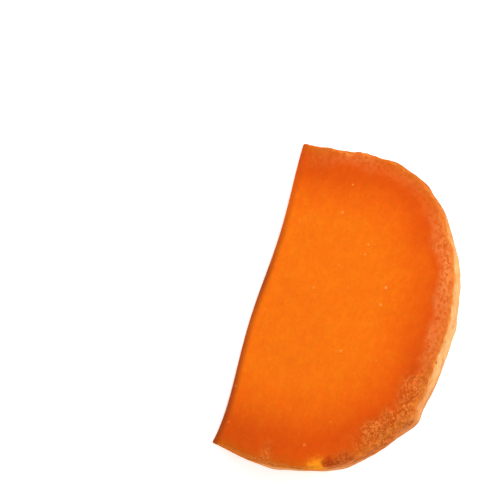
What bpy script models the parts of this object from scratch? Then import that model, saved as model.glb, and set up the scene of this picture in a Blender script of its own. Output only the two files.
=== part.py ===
"""A wedge of mimolette, a hard orange cheese that ripens as a flattened ball with a dry rind.

Two knife cuts that meet along the ball's axis free the wedge, as a slice is cut from a melon.
It lies on its lower cut face, and its origin is the middle of the footprint. The ball's axis
and the thin front edge run along X, the rind is at the back, towards +Y, and the upper cut
face slopes up from the thin edge to the rind. Sizes are in metres.
"""

import math

import bmesh
import bpy
import numpy as np

# The whole ball, which is as wide as two radii and a little less tall
BALL_RADIUS = 0.100
BALL_HALF_HEIGHT = 0.082

# A higher fullness keeps an end flat further out, the power sets how its shoulder turns
# down to the girth, and the dimple is the hollow at its middle, as wide as its reach
LEFT_END = {"fullness": 4.04, "power": 0.528, "dimple": 0.0041, "reach": 0.0313}
RIGHT_END = {"fullness": 2.95, "power": 0.449, "dimple": 0.0049, "reach": 0.0222}

# A ridge runs round the right shoulder, where the ripening ball stood on its board, and the
# girth swells a little on the left
RIDGE = {"x": 0.0382, "width": 0.0048, "height": 0.0024}
SWELLING = {"x": -0.034, "width": 0.0247, "height": 0.0010}

# The wedge that the two cuts leave, a tenth of the ball
WEDGE_ANGLE = math.radians(36)

# Its thin front edge is blunt, worn back between its two corners, and wanders with the knife
NOSE_RADIUS = 0.0024
NOSE_WEAR = 0.0010
NOSE_WANDER = 0.0009
NOSE_WAVE = 0.092
NOSE_CREST_X = -0.031

# The upper cut bulges a little, because its edges dry and shrink, and the knife wandered
CUT_CROWN = 0.0008
CUT_MIDDLE_RADIUS = 0.45 * BALL_RADIUS
CUT_FADE_RADIUS = 0.020
CUT_RELIEF = {"height": 0.00022, "wavelength": 0.034, "seed": 11}

# Dents and bumps of the rind, from its broad unevenness to its pitted skin
RIND_RELIEFS = (
    {"height": 0.00036, "wavelength": 0.040, "seed": 21},
    {"height": 0.00022, "wavelength": 0.012, "seed": 22},
)

# The rind's upper edge crumbled under the knife, and lost one larger chip
RIM_WEAR = {"height": 0.00070, "wavelength": 0.011, "seed": 31}
CHIP_RADIUS = 0.065
CHIP_WIDTH = 0.0035
CHIP_DEPTH = 0.0022

# How finely the surfaces are divided
PROFILE_STEPS = 2000
RIND_COLUMNS = 110
NOSE_COLUMNS = 24
RIND_ROWS = 22
CUT_RINGS = 13
RING_CROWDING = 1.3
RELIEF_WAVES = 14

PASTE_COLOUR = (0.94, 0.19, 0.012, 1.0)
PASTE_ROUGHNESS = 0.5


def half_height(radius, end):
    """Distance of the ball's end surface from the girth plane, at a distance from the axis."""
    share = np.clip(radius / BALL_RADIUS, 0, 1)
    shoulder = BALL_HALF_HEIGHT * (1 - share ** end["fullness"]) ** end["power"]
    return shoulder - end["dimple"] * np.exp(-((radius / end["reach"]) ** 2))


def rind_outline():
    """Evenly spaced (x, radius) points of the rind, from the left end's middle to the right's."""
    way = np.linspace(-1, 1, PROFILE_STEPS)
    radius = BALL_RADIUS - (BALL_RADIUS - NOSE_RADIUS) * way**2
    x = np.where(way < 0, -half_height(radius, LEFT_END), half_height(radius, RIGHT_END))
    travelled = np.append(0, np.cumsum(np.hypot(np.diff(x), np.diff(radius))))
    even = np.linspace(0, travelled[-1], RIND_COLUMNS + 1)
    return np.interp(even, travelled, x), np.interp(even, travelled, radius)


def nose_outline(x_from, x_to):
    """Points (x, radius) of the thin edge between its two ends, which it leaves out."""
    share = np.linspace(0, 1, NOSE_COLUMNS + 1)[1:-1]
    x = x_from + (x_to - x_from) * share
    between_corners = 1 - np.abs(2 * share - 1) ** 12
    wander = NOSE_WANDER * np.cos(2 * math.pi * (x - NOSE_CREST_X) / NOSE_WAVE)
    return x, NOSE_RADIUS + between_corners * (NOSE_WEAR + wander)


def relief(points, height, wavelength, seed):
    """A smooth uneven field over the points: waves of random direction, length and phase."""
    rng = np.random.default_rng(seed)
    total = np.zeros(len(points))
    for _ in range(RELIEF_WAVES):
        direction = rng.normal(size=3)
        direction /= np.linalg.norm(direction)
        turns = 2 * math.pi / (wavelength * rng.uniform(0.7, 1.4))
        total += np.cos(points @ direction * turns + rng.uniform(0, 2 * math.pi))
    return height * total * math.sqrt(2 / RELIEF_WAVES)


def coordinates(verts):
    """The vertices' places as an array, one row each."""
    return np.array([v.co for v in verts])


def move(verts, offsets):
    """Moves each vertex by its own offset."""
    for vert, place in zip(verts, coordinates(verts) + offsets):
        vert.co = place


def spin_half_section(bm):
    """Sweeps the ball's half section about its axis. Returns the face of the upper cut."""
    rind_x, rind_radius = rind_outline()
    nose_x, nose_radius = nose_outline(rind_x[-1], rind_x[0])
    outline = zip(np.append(rind_x, nose_x), np.append(rind_radius, nose_radius))
    corners = [bm.verts.new((x, radius, 0)) for x, radius in outline]
    section = bm.faces.new(corners)
    swept = bmesh.ops.spin(
        bm,
        geom=[section],
        cent=(0, 0, 0),
        axis=(1, 0, 0),
        angle=WEDGE_ANGLE,
        steps=RIND_ROWS,
    )
    bmesh.ops.recalc_face_normals(bm, faces=bm.faces)
    return next(g for g in swept["geom_last"] if isinstance(g, bmesh.types.BMFace))


def open_up_nose(bm):
    """Joins the narrow strips that the sweep left along the thin edge into one strip."""
    ends = (-BALL_HALF_HEIGHT, BALL_HALF_HEIGHT)
    narrow = NOSE_RADIUS + NOSE_WEAR + NOSE_WANDER + 1e-5
    along = []
    for edge in bm.edges:
        middle = (edge.verts[0].co + edge.verts[1].co) / 2
        near_axis = math.hypot(middle.y, middle.z) < narrow
        level = abs(edge.verts[0].co.x - edge.verts[1].co.x) > 1e-4
        inner = all(len(face.verts) == 4 for face in edge.link_faces)
        if near_axis and level and inner and ends[0] < middle.x < ends[1]:
            along.append(edge)
    bmesh.ops.dissolve_edges(bm, edges=along, use_verts=True)


def roughen_rind(bm):
    """Dents the rind along its own slope. Both cut faces stay in their planes."""
    bm.normal_update()
    places = coordinates(bm.verts)
    radius = np.hypot(places[:, 1], places[:, 2])
    rind_x, rind_radius = rind_outline()
    along_x = np.gradient(rind_x)
    along_radius = np.gradient(rind_radius)
    length = np.hypot(along_x, along_radius)
    gap = np.hypot(places[:, :1] - rind_x, radius[:, None] - rind_radius)
    nearest = gap.argmin(axis=1)
    out_x = (-along_radius / length)[nearest]
    out_radius = (along_x / length)[nearest]
    depth = sum(relief(places, **layer) for layer in RIND_RELIEFS)
    for ring in (RIDGE, SWELLING):
        depth += ring["height"] * np.exp(-(((places[:, 0] - ring["x"]) / ring["width"]) ** 2))
    on_rind = gap.min(axis=1) < 1e-5
    depth *= on_rind * np.clip(radius / CUT_FADE_RADIUS, 0, 1)
    outward = np.column_stack(
        (
            out_x,
            out_radius * places[:, 1] / radius,
            out_radius * places[:, 2] / radius,
        )
    )
    move(bm.verts, outward * depth[:, None])


def ring_upper_cut(bm, face):
    """Divides the upper cut into rings that close on its middle."""
    middle = np.array(
        (
            0,
            CUT_MIDDLE_RADIUS * math.cos(WEDGE_ANGLE),
            CUT_MIDDLE_RADIUS * math.sin(WEDGE_ANGLE),
        )
    )
    shares = 1 - (np.arange(CUT_RINGS) / CUT_RINGS) ** RING_CROWDING
    for outer, inner in zip(shares[:-1], shares[1:]):
        made = bmesh.ops.extrude_discrete_faces(bm, faces=[face])
        face = made["faces"][0]
        places = coordinates(face.verts)
        move(face.verts, (places - middle) * (inner / outer - 1))
    bmesh.ops.poke(bm, faces=[face])


def raise_upper_cut(bm):
    """Crowns the upper cut and lets it wander. The rind below it stretches to meet it."""
    places = coordinates(bm.verts)
    radius = np.hypot(places[:, 1], places[:, 2])
    angle = np.arctan2(places[:, 2], places[:, 1])
    from_middle = np.hypot(
        places[:, 0] / BALL_HALF_HEIGHT,
        (radius - CUT_MIDDLE_RADIUS) / (BALL_RADIUS - CUT_MIDDLE_RADIUS),
    )
    crown = CUT_CROWN * np.clip(1 - from_middle**2, 0, 1)
    height = crown + relief(places, **CUT_RELIEF) * np.clip(radius / CUT_FADE_RADIUS, 0, 1)
    height *= angle / WEDGE_ANGLE
    upward = np.column_stack((np.zeros(len(places)), -np.sin(angle), np.cos(angle)))
    move(bm.verts, upward * height[:, None])


def wear_rim(bm):
    """Rounds and chips the edge where the rind meets the upper cut."""
    bm.normal_update()
    cut_normal = np.array((0, -math.sin(WEDGE_ANGLE), math.cos(WEDGE_ANGLE)))
    rim = []
    inward = []
    for vert in bm.verts:
        faces = [np.array(face.normal) for face in vert.link_faces]
        lies = [normal @ cut_normal > 0.9 for normal in faces]
        if any(lies) and not all(lies) and math.hypot(vert.co.y, vert.co.z) > CUT_FADE_RADIUS:
            rim.append(vert)
            inward.append(-np.array(vert.normal))
    places = coordinates(rim)
    chip_x = half_height(CHIP_RADIUS, RIGHT_END)
    chip_y = CHIP_RADIUS * math.cos(WEDGE_ANGLE)
    chip_z = CHIP_RADIUS * math.sin(WEDGE_ANGLE)
    from_chip = np.linalg.norm(places - (chip_x, chip_y, chip_z), axis=1)
    depth = np.clip(relief(places, **RIM_WEAR), 0, None)
    depth += CHIP_DEPTH * np.exp(-((from_chip / CHIP_WIDTH) ** 2))
    move(rim, np.array(inward) * depth[:, None])


def stand_on_origin(bm):
    """Puts the middle of the footprint at the origin, with the lower cut at height zero."""
    places = coordinates(bm.verts)
    middle = (places.min(axis=0) + places.max(axis=0)) / 2
    middle[2] = 0
    move(bm.verts, np.tile(-middle, (len(places), 1)))


def paste_material():
    """The smooth orange paste of the cheese."""
    material = bpy.data.materials.new("orange_paste")
    material.use_nodes = True
    shader = material.node_tree.nodes["Principled BSDF"]
    shader.inputs["Base Color"].default_value = PASTE_COLOUR
    shader.inputs["Roughness"].default_value = PASTE_ROUGHNESS
    shader.inputs["Metallic"].default_value = 0.0
    return material


def build_wedge():
    """The whole wedge as one closed solid."""
    bm = bmesh.new()
    upper_cut = spin_half_section(bm)
    open_up_nose(bm)
    roughen_rind(bm)
    ring_upper_cut(bm, upper_cut)
    raise_upper_cut(bm)
    wear_rim(bm)
    stand_on_origin(bm)
    bmesh.ops.recalc_face_normals(bm, faces=bm.faces)
    mesh = bpy.data.meshes.new("mimolette")
    bm.to_mesh(mesh)
    bm.free()
    mesh.materials.append(paste_material())
    mesh.shade_smooth()
    mesh.set_sharp_from_angle(angle=math.radians(35))
    wedge = bpy.data.objects.new("mimolette", mesh)
    bpy.context.scene.collection.objects.link(wedge)
    return wedge


def main():
    for thing in list(bpy.data.objects):
        bpy.data.objects.remove(thing)
    build_wedge()


main()
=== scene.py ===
# %% [markdown]
# # A wedge of mimolette
#
# Mimolette is a hard cheese, coloured deep orange with annatto, that ripens as a flattened
# ball about 20 cm wide under a dry rind. This wedge is a tenth of such a ball. Two knife cuts
# that meet along the ball's axis free it, as a slice is cut from a melon. So it has two flat
# cut faces, a thin front edge where they meet, and a curved panel of rind at its back.
#
# The lesson makes the wedge as one fine mesh, weathers it with Geometry Nodes, colours it
# with procedural materials, and scatters the crumbs of a real cut along its rim.

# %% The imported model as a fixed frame
import math

import bmesh
import bpy
import numpy as np
from mathutils import Matrix, Vector
from mathutils.bvhtree import BVHTree
from mathutils.kdtree import KDTree


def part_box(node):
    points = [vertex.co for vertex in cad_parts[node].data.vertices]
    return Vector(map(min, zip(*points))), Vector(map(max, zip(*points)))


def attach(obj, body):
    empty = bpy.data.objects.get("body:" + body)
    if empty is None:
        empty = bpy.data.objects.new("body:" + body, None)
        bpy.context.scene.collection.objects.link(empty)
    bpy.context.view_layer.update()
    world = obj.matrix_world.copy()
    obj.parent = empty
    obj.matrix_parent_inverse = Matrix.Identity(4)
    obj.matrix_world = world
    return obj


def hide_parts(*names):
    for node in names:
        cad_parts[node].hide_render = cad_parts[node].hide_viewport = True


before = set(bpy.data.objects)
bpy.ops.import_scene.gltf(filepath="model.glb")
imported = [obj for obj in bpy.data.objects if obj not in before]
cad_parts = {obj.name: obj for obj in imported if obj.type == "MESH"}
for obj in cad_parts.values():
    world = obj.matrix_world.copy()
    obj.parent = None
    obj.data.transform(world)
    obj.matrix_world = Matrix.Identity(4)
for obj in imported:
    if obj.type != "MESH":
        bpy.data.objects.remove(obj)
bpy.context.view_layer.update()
solid_low, solid_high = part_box("mimolette")
print("the solid measures", [round(1000 * side, 1) for side in solid_high - solid_low], "mm")

# %% [markdown]
# ## The outline of the ball
#
# Sawn through its axis, the whole cheese shows a flattened ball: broad flat ends with a small
# hollow in the middle, where it lay on its board, and full shoulders. A scaled sphere has the
# wrong shoulders, and points placed by hand would wobble. A superellipse needs one number for
# how flat an end is and one for how its shoulder turns, so each end gets its own pair.

# %% Sizes of the ball
BALL_RADIUS = 0.100
BALL_HALF_HEIGHT = 0.082
LEFT_END = {"fullness": 4.04, "power": 0.528, "dimple": 0.0041, "reach": 0.0313}
RIGHT_END = {"fullness": 2.95, "power": 0.449, "dimple": 0.0049, "reach": 0.0222}
WEDGE_ANGLE = math.radians(36)
NOSE_RADIUS = 0.0024
PROFILE_STEPS = 6000


def half_height(radius, end):
    """Distance of the ball's end surface from the girth plane, at a distance from the axis."""
    share = np.clip(radius / BALL_RADIUS, 0, 1)
    shoulder = BALL_HALF_HEIGHT * (1 - share ** end["fullness"]) ** end["power"]
    return shoulder - end["dimple"] * np.exp(-((radius / end["reach"]) ** 2))


hollows = [BALL_HALF_HEIGHT - half_height(0, end) for end in (LEFT_END, RIGHT_END)]
print("the ends are hollow by", [round(1000 * float(hollow), 1) for hollow in hollows], "mm")

# %% Even steps along the outline
def rind_outline(columns):
    """Evenly spaced (x, radius) points, from the left end's middle to the right's."""
    way = np.linspace(-1, 1, PROFILE_STEPS)
    radius = BALL_RADIUS - (BALL_RADIUS - NOSE_RADIUS) * way**2
    x = np.where(way < 0, -half_height(radius, LEFT_END), half_height(radius, RIGHT_END))
    travelled = np.append(0, np.cumsum(np.hypot(np.diff(x), np.diff(radius))))
    even = np.linspace(0, travelled[-1], columns + 1)
    return np.column_stack((np.interp(even, travelled, x), np.interp(even, travelled, radius)))


def outline_normals(outline):
    """Unit (x, radius) directions that point out of the ball."""
    along = np.gradient(outline, axis=0)
    across = np.column_stack((-along[:, 1], along[:, 0]))
    return across / np.linalg.norm(across, axis=1)[:, None]


print("halfway between its ends the outline is at", np.round(1000 * rind_outline(2)[1], 1), "mm")

# %% [markdown]
# ## A skin of even faces
#
# The rind is the outline turned about the axis. Turned with the same number of rows all along,
# it would crowd its faces at both ends, where the cuts meet. So the rows halve each time the
# radius does, with five-sided faces at the change, and every face stays about 0.7 mm wide.
# That is fine enough to carry real pits and chips, and the wedge stays under 200,000 triangles.

# %% Columns and rows
SIDE_COLUMNS = 108
CROWN_COLUMNS = 240
RIND_COLUMNS = CROWN_COLUMNS + 2 * SIDE_COLUMNS
GIRTH_ROWS = 96
NOSE_ROWS = 3


def rows_at(radius):
    """Rows of rind between the two cuts, halved each time the radius halves."""
    rows = GIRTH_ROWS
    while rows > NOSE_ROWS and radius < BALL_RADIUS / 2:
        rows //= 2
        radius *= 2
    return rows


def turned(x, radius, angle):
    """Places at an angle round the ball's axis, as rows of (x, y, z)."""
    return np.column_stack((x, radius * np.cos(angle), radius * np.sin(angle)))


print("rows at 10, 40 and 90 mm from the axis:", [rows_at(r) for r in (0.010, 0.040, 0.090)])

# %% The columns of the rind
def rind_columns(outline):
    """Each column's vertex numbers, and every vertex's outline number and angle."""
    columns = []
    owners = []
    angles = []
    for number, (_, radius) in enumerate(outline):
        rows = rows_at(radius)
        columns.append(list(range(len(owners), len(owners) + rows + 1)))
        owners += [number] * (rows + 1)
        angles += [WEDGE_ANGLE * row / rows for row in range(rows + 1)]
    return columns, np.array(owners), np.array(angles)


def join_columns(left, right):
    """Faces between two columns, one of which may have twice as many rows as the other."""
    few = min(len(left), len(right)) - 1
    left_step = (len(left) - 1) // few
    right_step = (len(right) - 1) // few
    faces = []
    for row in range(few):
        up = left[row * left_step : (row + 1) * left_step + 1]
        down = right[row * right_step : (row + 1) * right_step + 1]
        faces.append(up + down[::-1])
    return faces


outline = rind_outline(RIND_COLUMNS)
columns, owners, angles = rind_columns(outline)
print("the rind has", len(columns), "columns and", len(owners), "vertices")

# %% [markdown]
# ## Dents of a hand-turned cheese
#
# A ball of cheese is never true. It is turned by hand for months, sags a little, and dries
# unevenly. A sum of a few waves with random directions and lengths gives such a soft swell.
# It is smooth and it repeats exactly for a given seed. A noise texture would do as well, but
# this one is the same field that the solid was dented with, so both keep one form.

# %% The swell of the rind
RELIEF_WAVES = 14
RIND_RELIEFS = (
    {"height": 0.00036, "wavelength": 0.040, "seed": 21},
    {"height": 0.00022, "wavelength": 0.012, "seed": 22},
)
RIDGE = {"x": 0.0382, "width": 0.0048, "height": 0.0024}
SWELLING = {"x": -0.034, "width": 0.0247, "height": 0.0010}
CUT_FADE_RADIUS = 0.020


def relief(points, height, wavelength, seed):
    """A smooth uneven field over the points: waves of random direction, length and phase."""
    rng = np.random.default_rng(seed)
    total = np.zeros(len(points))
    for _ in range(RELIEF_WAVES):
        direction = rng.normal(size=3)
        direction /= np.linalg.norm(direction)
        turns = 2 * math.pi / (wavelength * rng.uniform(0.7, 1.4))
        total += np.cos(points @ direction * turns + rng.uniform(0, 2 * math.pi))
    return height * total * math.sqrt(2 / RELIEF_WAVES)


x, radius = outline[owners].T
rind_points = turned(x, radius, angles)
swell = sum(relief(rind_points, **layer) for layer in RIND_RELIEFS)
for ring in (RIDGE, SWELLING):
    swell += ring["height"] * np.exp(-(((x - ring["x"]) / ring["width"]) ** 2))
swell *= np.clip(radius / CUT_FADE_RADIUS, 0, 1)
normal_x, normal_radius = outline_normals(outline)[owners].T
rind_points += turned(normal_x, normal_radius, angles) * swell[:, None]
print("the rind swells by", np.round(1000 * np.percentile(swell, (1, 99)), 2), "mm")

# %% [markdown]
# ## The two cut faces and the thin edge
#
# A knife face is flat, but it still needs many faces, because relief can only move vertices
# that are there. A fan from its middle would pinch them together. A Coons patch blends four
# edges instead: the thin front edge, the two flat ends and the crown of the ball. It spreads
# an even net between them that meets the rind vertex by vertex.

# %% The thin front edge
NOSE_WEAR = 0.0010
NOSE_WANDER = 0.0009
NOSE_WAVE = 0.092
NOSE_CREST_X = -0.031
NOSE_CORNER_SHARPNESS = 12


def nose_line(left_x, right_x):
    """The (x, radius) points of the thin edge, without its two ends."""
    share = np.linspace(0, 1, CROWN_COLUMNS + 1)[1:-1]
    line_x = left_x + (right_x - left_x) * share
    between_corners = 1 - np.abs(2 * share - 1) ** NOSE_CORNER_SHARPNESS
    wander = NOSE_WANDER * np.cos(2 * math.pi * (line_x - NOSE_CREST_X) / NOSE_WAVE)
    return line_x, NOSE_RADIUS + between_corners * (NOSE_WEAR + wander)


nose_x, nose_radius = nose_line(outline[0, 0], outline[-1, 0])
nose_low = turned(nose_x, nose_radius, 0.0)
nose_high = turned(nose_x, nose_radius, WEDGE_ANGLE)
nose_rows = [
    nose_low + (nose_high - nose_low) * row / NOSE_ROWS for row in range(NOSE_ROWS + 1)
]
nose_widths = 2 * nose_radius * math.sin(WEDGE_ANGLE / 2)
print("the thin edge is", np.round(1000 * nose_widths, 2)[::60], "mm")


# %% A net between four edges
def coons_patch(front, back, left, right):
    """Places between four edges. Front and back run to the right, the others to the back."""
    u = np.linspace(0, 1, len(front))[None, :, None]
    v = np.linspace(0, 1, len(left))[:, None, None]
    lengthwise = (1 - v) * front[None] + v * back[None]
    crosswise = (1 - u) * left[:, None] + u * right[:, None]
    near = (1 - u) * front[0] + u * front[-1]
    far = (1 - u) * back[0] + u * back[-1]
    return lengthwise + crosswise - (1 - v) * near - v * far


def net_faces(net):
    """The four-sided faces of a net of vertex numbers."""
    quads = np.stack((net[:-1, :-1], net[:-1, 1:], net[1:, 1:], net[1:, :-1]), axis=-1)
    return quads.reshape(-1, 4).tolist()


print("a net of 2 by 3 points has", len(net_faces(np.arange(6).reshape(2, 3))), "faces")

# %% All vertices and faces of the wedge
points = [rind_points]
faces = []
for left, right in zip(columns[:-1], columns[1:]):
    faces += join_columns(left, right)
RIND_FACES = len(faces)


def add_points(places):
    """Adds places to the wedge and returns their numbers."""
    first = sum(len(group) for group in points)
    points.append(places)
    return np.arange(first, first + len(places))


nose_net = np.empty((NOSE_ROWS + 1, CROWN_COLUMNS + 1), dtype=int)
nose_net[:, 0] = columns[0]
nose_net[:, -1] = columns[-1]
for row, places in enumerate(nose_rows):
    nose_net[row, 1:-1] = add_points(places)
faces += net_faces(nose_net)

for end, nose in ((0, nose_net[0]), (-1, nose_net[-1])):
    rim = np.array([column[end] for column in columns])
    back = rim[SIDE_COLUMNS : SIDE_COLUMNS + CROWN_COLUMNS + 1]
    left, right = rim[: SIDE_COLUMNS + 1], rim[: -SIDE_COLUMNS - 2 : -1]
    known = np.vstack(points)
    patch = coons_patch(known[nose], known[back], known[left], known[right])
    net = np.empty(patch.shape[:2], dtype=int)
    net[0], net[-1], net[:, 0], net[:, -1] = nose, back, left, right
    inside = add_points(patch[1:-1, 1:-1].reshape(-1, 3))
    net[1:-1, 1:-1] = inside.reshape(net[1:-1, 1:-1].shape)
    faces += net_faces(net)

points = np.vstack(points)
print("the wedge has", len(points), "vertices and", len(faces), "faces")

# %% [markdown]
# ## The bulge of the upper cut
#
# The cut face isn't quite flat. Its edges dry and shrink first, so its middle stands proud by
# under a millimetre, and the knife wandered a little on its way through the hard paste. The
# rise fades out down the rind towards the lower cut, which lies flat on the table.

# %% Crown and wander of the cut
CUT_CROWN = 0.0008
CUT_MIDDLE_RADIUS = 0.45 * BALL_RADIUS
CUT_RELIEF = {"height": 0.00022, "wavelength": 0.034, "seed": 11}

point_radius = np.hypot(points[:, 1], points[:, 2])
point_angle = np.arctan2(points[:, 2], points[:, 1])
from_middle = np.hypot(
    points[:, 0] / BALL_HALF_HEIGHT,
    (point_radius - CUT_MIDDLE_RADIUS) / (BALL_RADIUS - CUT_MIDDLE_RADIUS),
)
rise = CUT_CROWN * np.clip(1 - from_middle**2, 0, 1)
rise += relief(points, **CUT_RELIEF) * np.clip(point_radius / CUT_FADE_RADIUS, 0, 1)
rise *= point_angle / WEDGE_ANGLE
cut_up = np.column_stack((np.zeros(len(points)), -np.sin(point_angle), np.cos(point_angle)))
points += cut_up * rise[:, None]
print("the cut rises by at most", round(1000 * rise.max(), 2), "mm")

# %% [markdown]
# ## How far each spot is from the edges
#
# Cheese dries from its rind inwards, so nearly every change of colour and texture follows the
# distance to the rind. It could be painted by hand, but a measured distance stays right when a
# size changes. The distances are kept on the mesh as named attributes, which both Geometry
# Nodes and the materials can read.

# %% Distances from the rims and from the thin edge
CORNER_COLUMNS = 6
RIM_COLUMNS = range(CORNER_COLUMNS, RIND_COLUMNS + 1 - CORNER_COLUMNS)
upper_rim = np.array([columns[number][-1] for number in RIM_COLUMNS])
lower_rim = np.array([columns[number][0] for number in RIM_COLUMNS])


def nearest(places, targets):
    """How far each place is from the nearest of some targets, and that target's number."""
    tree = KDTree(len(targets))
    for number, target in enumerate(targets):
        tree.insert(target, number)
    tree.balance()
    found = [tree.find(place) for place in places]
    return np.array([hit[2] for hit in found]), np.array([hit[1] for hit in found])


from_upper, upper_target = nearest(points, points[upper_rim])
from_lower, _ = nearest(points, points[lower_rim])
from_nose, _ = nearest(points, points[nose_net[[0, -1]].ravel()])
along_rim = upper_target / len(upper_rim)
on_rind = np.zeros(len(points))
on_rind[: len(rind_points)] = 1.0
deepest = np.minimum(from_upper, from_lower).max()
print("the middle of the cut is", round(1000 * deepest), "mm from the rind")

# %% Where the margin bloomed and where it crumbled
BLOOM_PLACES = (
    (0.085, 0.040, 0.6),
    (0.19, 0.05, 0.25),
    (0.38, 0.090, 1.0),
    (0.52, 0.05, 0.5),
)
CRUMBLED_PLACES = (
    (0.02, 0.02, 0.3),
    (0.61, 0.060, 1.0),
    (0.70, 0.045, 0.9),
    (0.91, 0.012, 0.6),
)


def patches_along(places):
    """How much soft patches, given as (middle, half width, strength), cover the rim, 0 to 1."""
    total = np.zeros(len(along_rim))
    for middle, half, strength in places:
        total += strength * np.exp(-(((along_rim - middle) / half) ** 2))
    return np.clip(total, 0, 1)


bloomed = patches_along(BLOOM_PLACES)
crumbled = patches_along(CRUMBLED_PLACES)
print("bloom covers", round(100 * float((bloomed > 0.4).mean())), "percent of the rim's length")

# %% [markdown]
# ## Edges softened and broken by the knife
#
# Hard cheese doesn't cut to a razor edge. The paste rounds over by about a millimetre, and the
# dry rind crumbles out of its edge in small bites. A Bevel modifier would give one even
# roundness. Smoothing only the vertices near an edge rounds them softly, and pushing vertices
# out of small random spheres bites shell-shaped chips from the rim, as real ones are. In one
# place the knife broke through, and left a torn spot, a hollow and a fresh break side by side.

# %% Rounding
ROUND_REACH = 0.0013
ROUND_START = 1.5
ROUND_STRENGTH = 0.5
ROUND_PASSES = 3

mesh = bpy.data.meshes.new("mimolette_wedge")
mesh.from_pydata(points.tolist(), [], faces)
edges = np.array([edge.vertices[:] for edge in mesh.edges])
neighbours = np.bincount(edges.ravel(), minlength=len(points))
from_edges = np.minimum(np.minimum(from_upper, from_lower), from_nose)
softness = ROUND_STRENGTH * np.clip(ROUND_START - from_edges / ROUND_REACH, 0, 1)
for _ in range(ROUND_PASSES):
    total = np.zeros_like(points)
    np.add.at(total, edges[:, 0], points[edges[:, 1]])
    np.add.at(total, edges[:, 1], points[edges[:, 0]])
    points += (total / neighbours[:, None] - points) * softness[:, None]
print("rounded", int((softness > 0).sum()), "vertices along the edges")

# %% Bites out of the upper rim
BITES = 150
BITE_RADII = (0.0012, 0.0042)
BITE_DEPTHS = (0.0002, 0.0010)
BITE_TILT = 0.45
BITE_SKEW = (1.3, 0.9)
BITE_SEED = 5
BROKEN_DEPTH = 0.0003
NOSE_NICKS = 26
NICK_RADII = (0.0015, 0.0050)
NICK_DEPTHS = (0.0001, 0.0004)
NICK_TILT = 0.2

cut_normal = np.array((0, -math.sin(WEDGE_ANGLE), math.cos(WEDGE_ANGLE)))
rim_points = points[upper_rim]
rim_normals = turned(*outline_normals(outline)[list(RIM_COLUMNS)].T, WEDGE_ANGLE)
broken = np.zeros(len(points))


def dip(place, outward, size, depth):
    """Pushes the wedge's points out of a sphere that dips into it. Returns the push."""
    outward = outward / np.linalg.norm(outward)
    centre = place + outward * (size - depth)
    away = points - centre
    reach = np.linalg.norm(away, axis=1)
    push = np.clip(size - reach, 0, None)
    points[:] += away / reach[:, None] * push[:, None]
    return push


def bite(number, size, depth, tilt=(0, 0, 0)):
    """A bite out of the upper rim, at one of its points."""
    outward = rim_normals[number] + cut_normal + np.asarray(tilt)
    return dip(rim_points[number], outward, size, depth)


rng = np.random.default_rng(BITE_SEED)
for _ in range(BITES):
    number = int(len(rim_points) * rng.beta(*BITE_SKEW))
    size = rng.uniform(*BITE_RADII)
    depth = rng.uniform(*BITE_DEPTHS)
    push = bite(min(number, len(rim_points) - 1), size, depth, rng.normal(0, BITE_TILT, size=3))
    broken = np.maximum(broken, np.clip(push / BROKEN_DEPTH, 0, 1))

for place in nose_high[rng.integers(0, len(nose_high), size=NOSE_NICKS)]:
    outward = cut_normal + (0, -1.0, 0) + rng.normal(0, NICK_TILT, size=3)
    dip(place, outward, rng.uniform(*NICK_RADII), rng.uniform(*NICK_DEPTHS))
print("bites touched", int((broken > 0).sum()), "vertices")

# %% A torn place, a hollow and a fresh break
TORN_PLACE = {"along": 0.773, "size": 0.0060, "depth": 0.0006, "parts": 6}
NOTCH_PLACE = {"along": 0.797, "size": 0.0040, "depth": 0.0020, "parts": 6}
FRESH_PLACE = {"along": 0.818, "size": 0.0058, "depth": 0.0012, "parts": 5}
BREAK_SPREAD = 2.5
BREAK_TILT = 0.35
SIZE_SHARES = (0.5, 1.0)
DEPTH_SHARES = (0.6, 1.0)


def break_out(along, size, depth, parts):
    """Bites close together at a place on the rim. Returns a soft patch around them."""
    middle = int(along * len(rim_points))
    for _ in range(parts):
        number = middle + int(rng.normal(0, BREAK_SPREAD))
        tilt = rng.normal(0, BREAK_TILT, size=3)
        part_size = size * rng.uniform(*SIZE_SHARES)
        bite(number, part_size, depth * rng.uniform(*DEPTH_SHARES), tilt)
    away = np.linalg.norm(points - rim_points[middle], axis=1)
    return np.exp(-((away / size) ** 2))


torn = break_out(**TORN_PLACE)
notch = break_out(**NOTCH_PLACE)
fresh = break_out(**FRESH_PLACE)
print("the fresh break covers", int((fresh > 0.5).sum()), "vertices")

# %% [markdown]
# ## The wedge as a mesh in its place
#
# The wedge was made about the ball's axis. Its solid stands with the middle of its footprint at
# the origin, so the points are moved until the two boxes share their middle. The faces are
# turned to point outwards, and every distance becomes an attribute.

# %% Placing the points and storing the attributes
middle = (points.min(axis=0) + points.max(axis=0)) / 2
shift = np.array((solid_low + solid_high) / 2) - middle
shift[2] = solid_low[2] - points[:, 2].min()
points += shift
mesh.vertices.foreach_set("co", points.ravel())

# 0 in the lower third of the wedge, 1 in its upper third
upper_side = np.clip(point_angle / WEDGE_ANGLE * 3 - 1, 0, 1)
for name, values in (
    ("from_rim", np.minimum(from_upper, from_lower)),
    ("from_nose", from_nose),
    ("crust", on_rind),
    ("upper", upper_side),
    ("bloomed", bloomed),
    ("crumbled", crumbled),
    ("broken", broken),
    ("fresh", fresh),
    ("notch", notch),
    ("torn", torn),
):
    mesh.attributes.new(name, "FLOAT", "POINT").data.foreach_set("value", values)
rind_face = np.arange(len(faces)) < RIND_FACES
mesh.attributes.new("rind_face", "BOOLEAN", "FACE").data.foreach_set("value", rind_face)
print("moved by", np.round(1000 * shift, 2), "mm")


# %% The wedge as an object
def add_object(name, data):
    """A new object at the origin of the scene."""
    made = bpy.data.objects.new(name, data)
    bpy.context.scene.collection.objects.link(made)
    return made


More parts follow.
